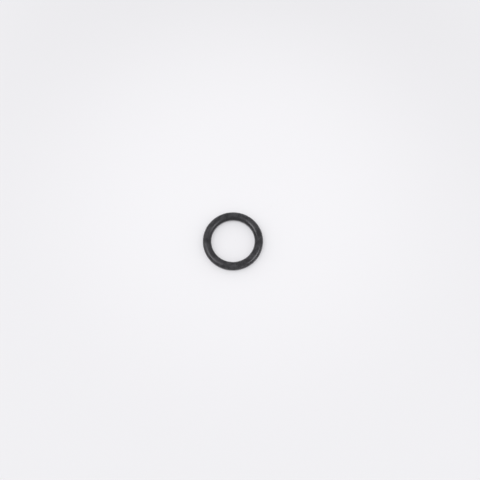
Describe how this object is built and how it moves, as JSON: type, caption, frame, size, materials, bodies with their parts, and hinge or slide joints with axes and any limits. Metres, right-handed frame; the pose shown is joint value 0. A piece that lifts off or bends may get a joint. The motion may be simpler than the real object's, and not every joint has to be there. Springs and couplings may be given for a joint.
{
  "type": "rubber o-ring",
  "caption": "Round ring of solid black rubber cord, a seal that is stretched over a shaft groove or pressed into a housing bore.",
  "frame": {"origin": "centre of the ring, on its axis and at the middle of the cord's height", "axes": "+Z along the ring's axis, up as the ring lies flat; X and Y lie in the plane of the ring"},
  "size_m": [0.0258, 0.0258, 0.0036],
  "materials": {
    "black_rubber": "satin"
  },
  "bodies": {
    "root": {"o_ring": "black_rubber"}
  },
  "joints": []
}
